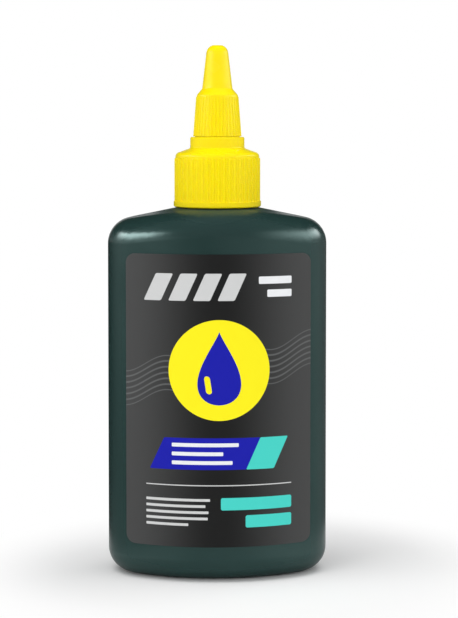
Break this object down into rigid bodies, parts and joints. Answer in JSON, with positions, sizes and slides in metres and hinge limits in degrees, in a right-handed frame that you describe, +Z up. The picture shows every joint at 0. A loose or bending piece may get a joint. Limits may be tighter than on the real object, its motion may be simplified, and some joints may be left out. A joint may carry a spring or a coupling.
{
  "type": "chain lubricant bottle",
  "caption": "Oval plastic squeeze bottle with a ribbed screw closure, a twist-open conical dispensing nozzle and a plain printed front label.",
  "frame": {"origin": "centre of the foot ring, on the surface the bottle stands on", "axes": "+Z up along the neck and nozzle; -Y is the labelled front; X runs across the broad face"},
  "size_m": [0.0577, 0.0341, 0.139],
  "materials": {
    "bottle_plastic": "satin dark green-grey blow-moulded polyethylene",
    "label_film": "dark grey printed film with a soft sheen",
    "closure_plastic": "yellow moulded polypropylene",
    "seal_foam": "white foamed polyethylene"
  },
  "bodies": {
    "bottle": {"bottle": "bottle_plastic", "front_label": "label_film"},
    "seal": {"sealing_ring": "seal_foam"},
    "closure": {"closure": "closure_plastic"},
    "nozzle": {"nozzle": "closure_plastic"}
  },
  "joints": [
    {"name": "closure_rise", "type": "slide", "parent": "bottle", "child": "seal", "axis": [0, 0, 1], "range_m": [0, 0.00477]},
    {"name": "closure_turn", "type": "hinge", "parent": "seal", "child": "closure", "pos_m": [0, 0, 0.1], "axis": [0, 0, 1], "range_deg": [0, 540]},
    {"name": "nozzle_lift", "type": "slide", "parent": "closure", "child": "nozzle", "axis": [0, 0, 1], "range_m": [0, 0.0032]}
  ],
  "couplings": [
    {"joint": "closure_rise", "follows": "closure_turn", "m_per_rad": 0.00050532}
  ]
}
